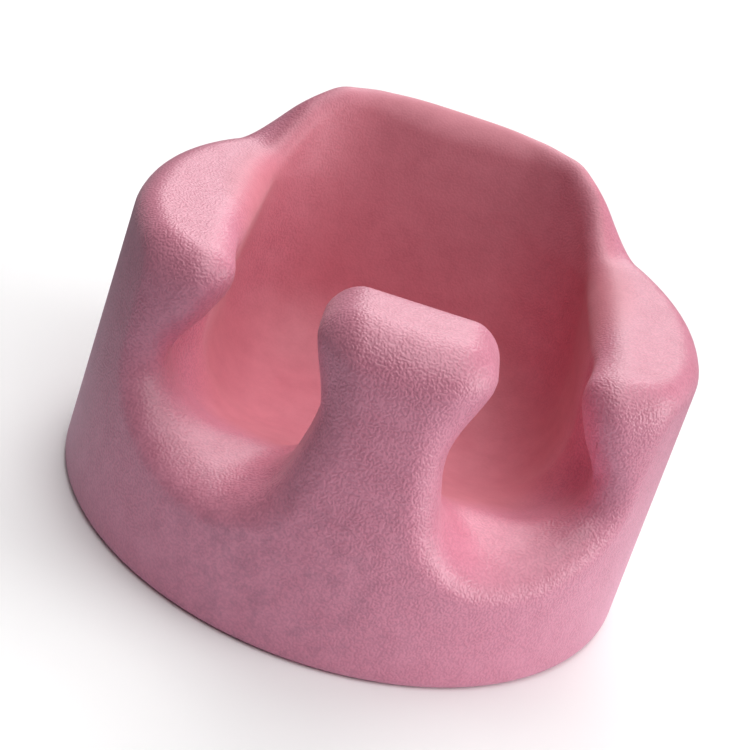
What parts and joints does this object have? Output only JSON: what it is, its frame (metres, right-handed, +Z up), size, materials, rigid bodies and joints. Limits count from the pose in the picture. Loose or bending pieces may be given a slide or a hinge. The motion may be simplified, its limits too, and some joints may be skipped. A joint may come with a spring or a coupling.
{
  "type": "baby floor seat",
  "caption": "Moulded self-skinned foam floor seat for a baby, with a round base, raised back, side arms and a pommel between the leg openings.",
  "frame": {"origin": "centre of the round base on the floor", "axes": "+Z up, the child faces -Y, +X to the right of someone who faces the seat's front"},
  "size_m": [0.3694, 0.3694, 0.2279],
  "materials": {
    "seat_skin": "self-skinned polyurethane, matt, fine leather grain",
    "base_skin": "self-skinned polyurethane, matt, fine leather grain",
    "foam_core": "open cellular polyurethane foam"
  },
  "bodies": {
    "root": {"seat_skin": "seat_skin", "base_skin": "base_skin", "foam_core": "foam_core"}
  },
  "joints": []
}
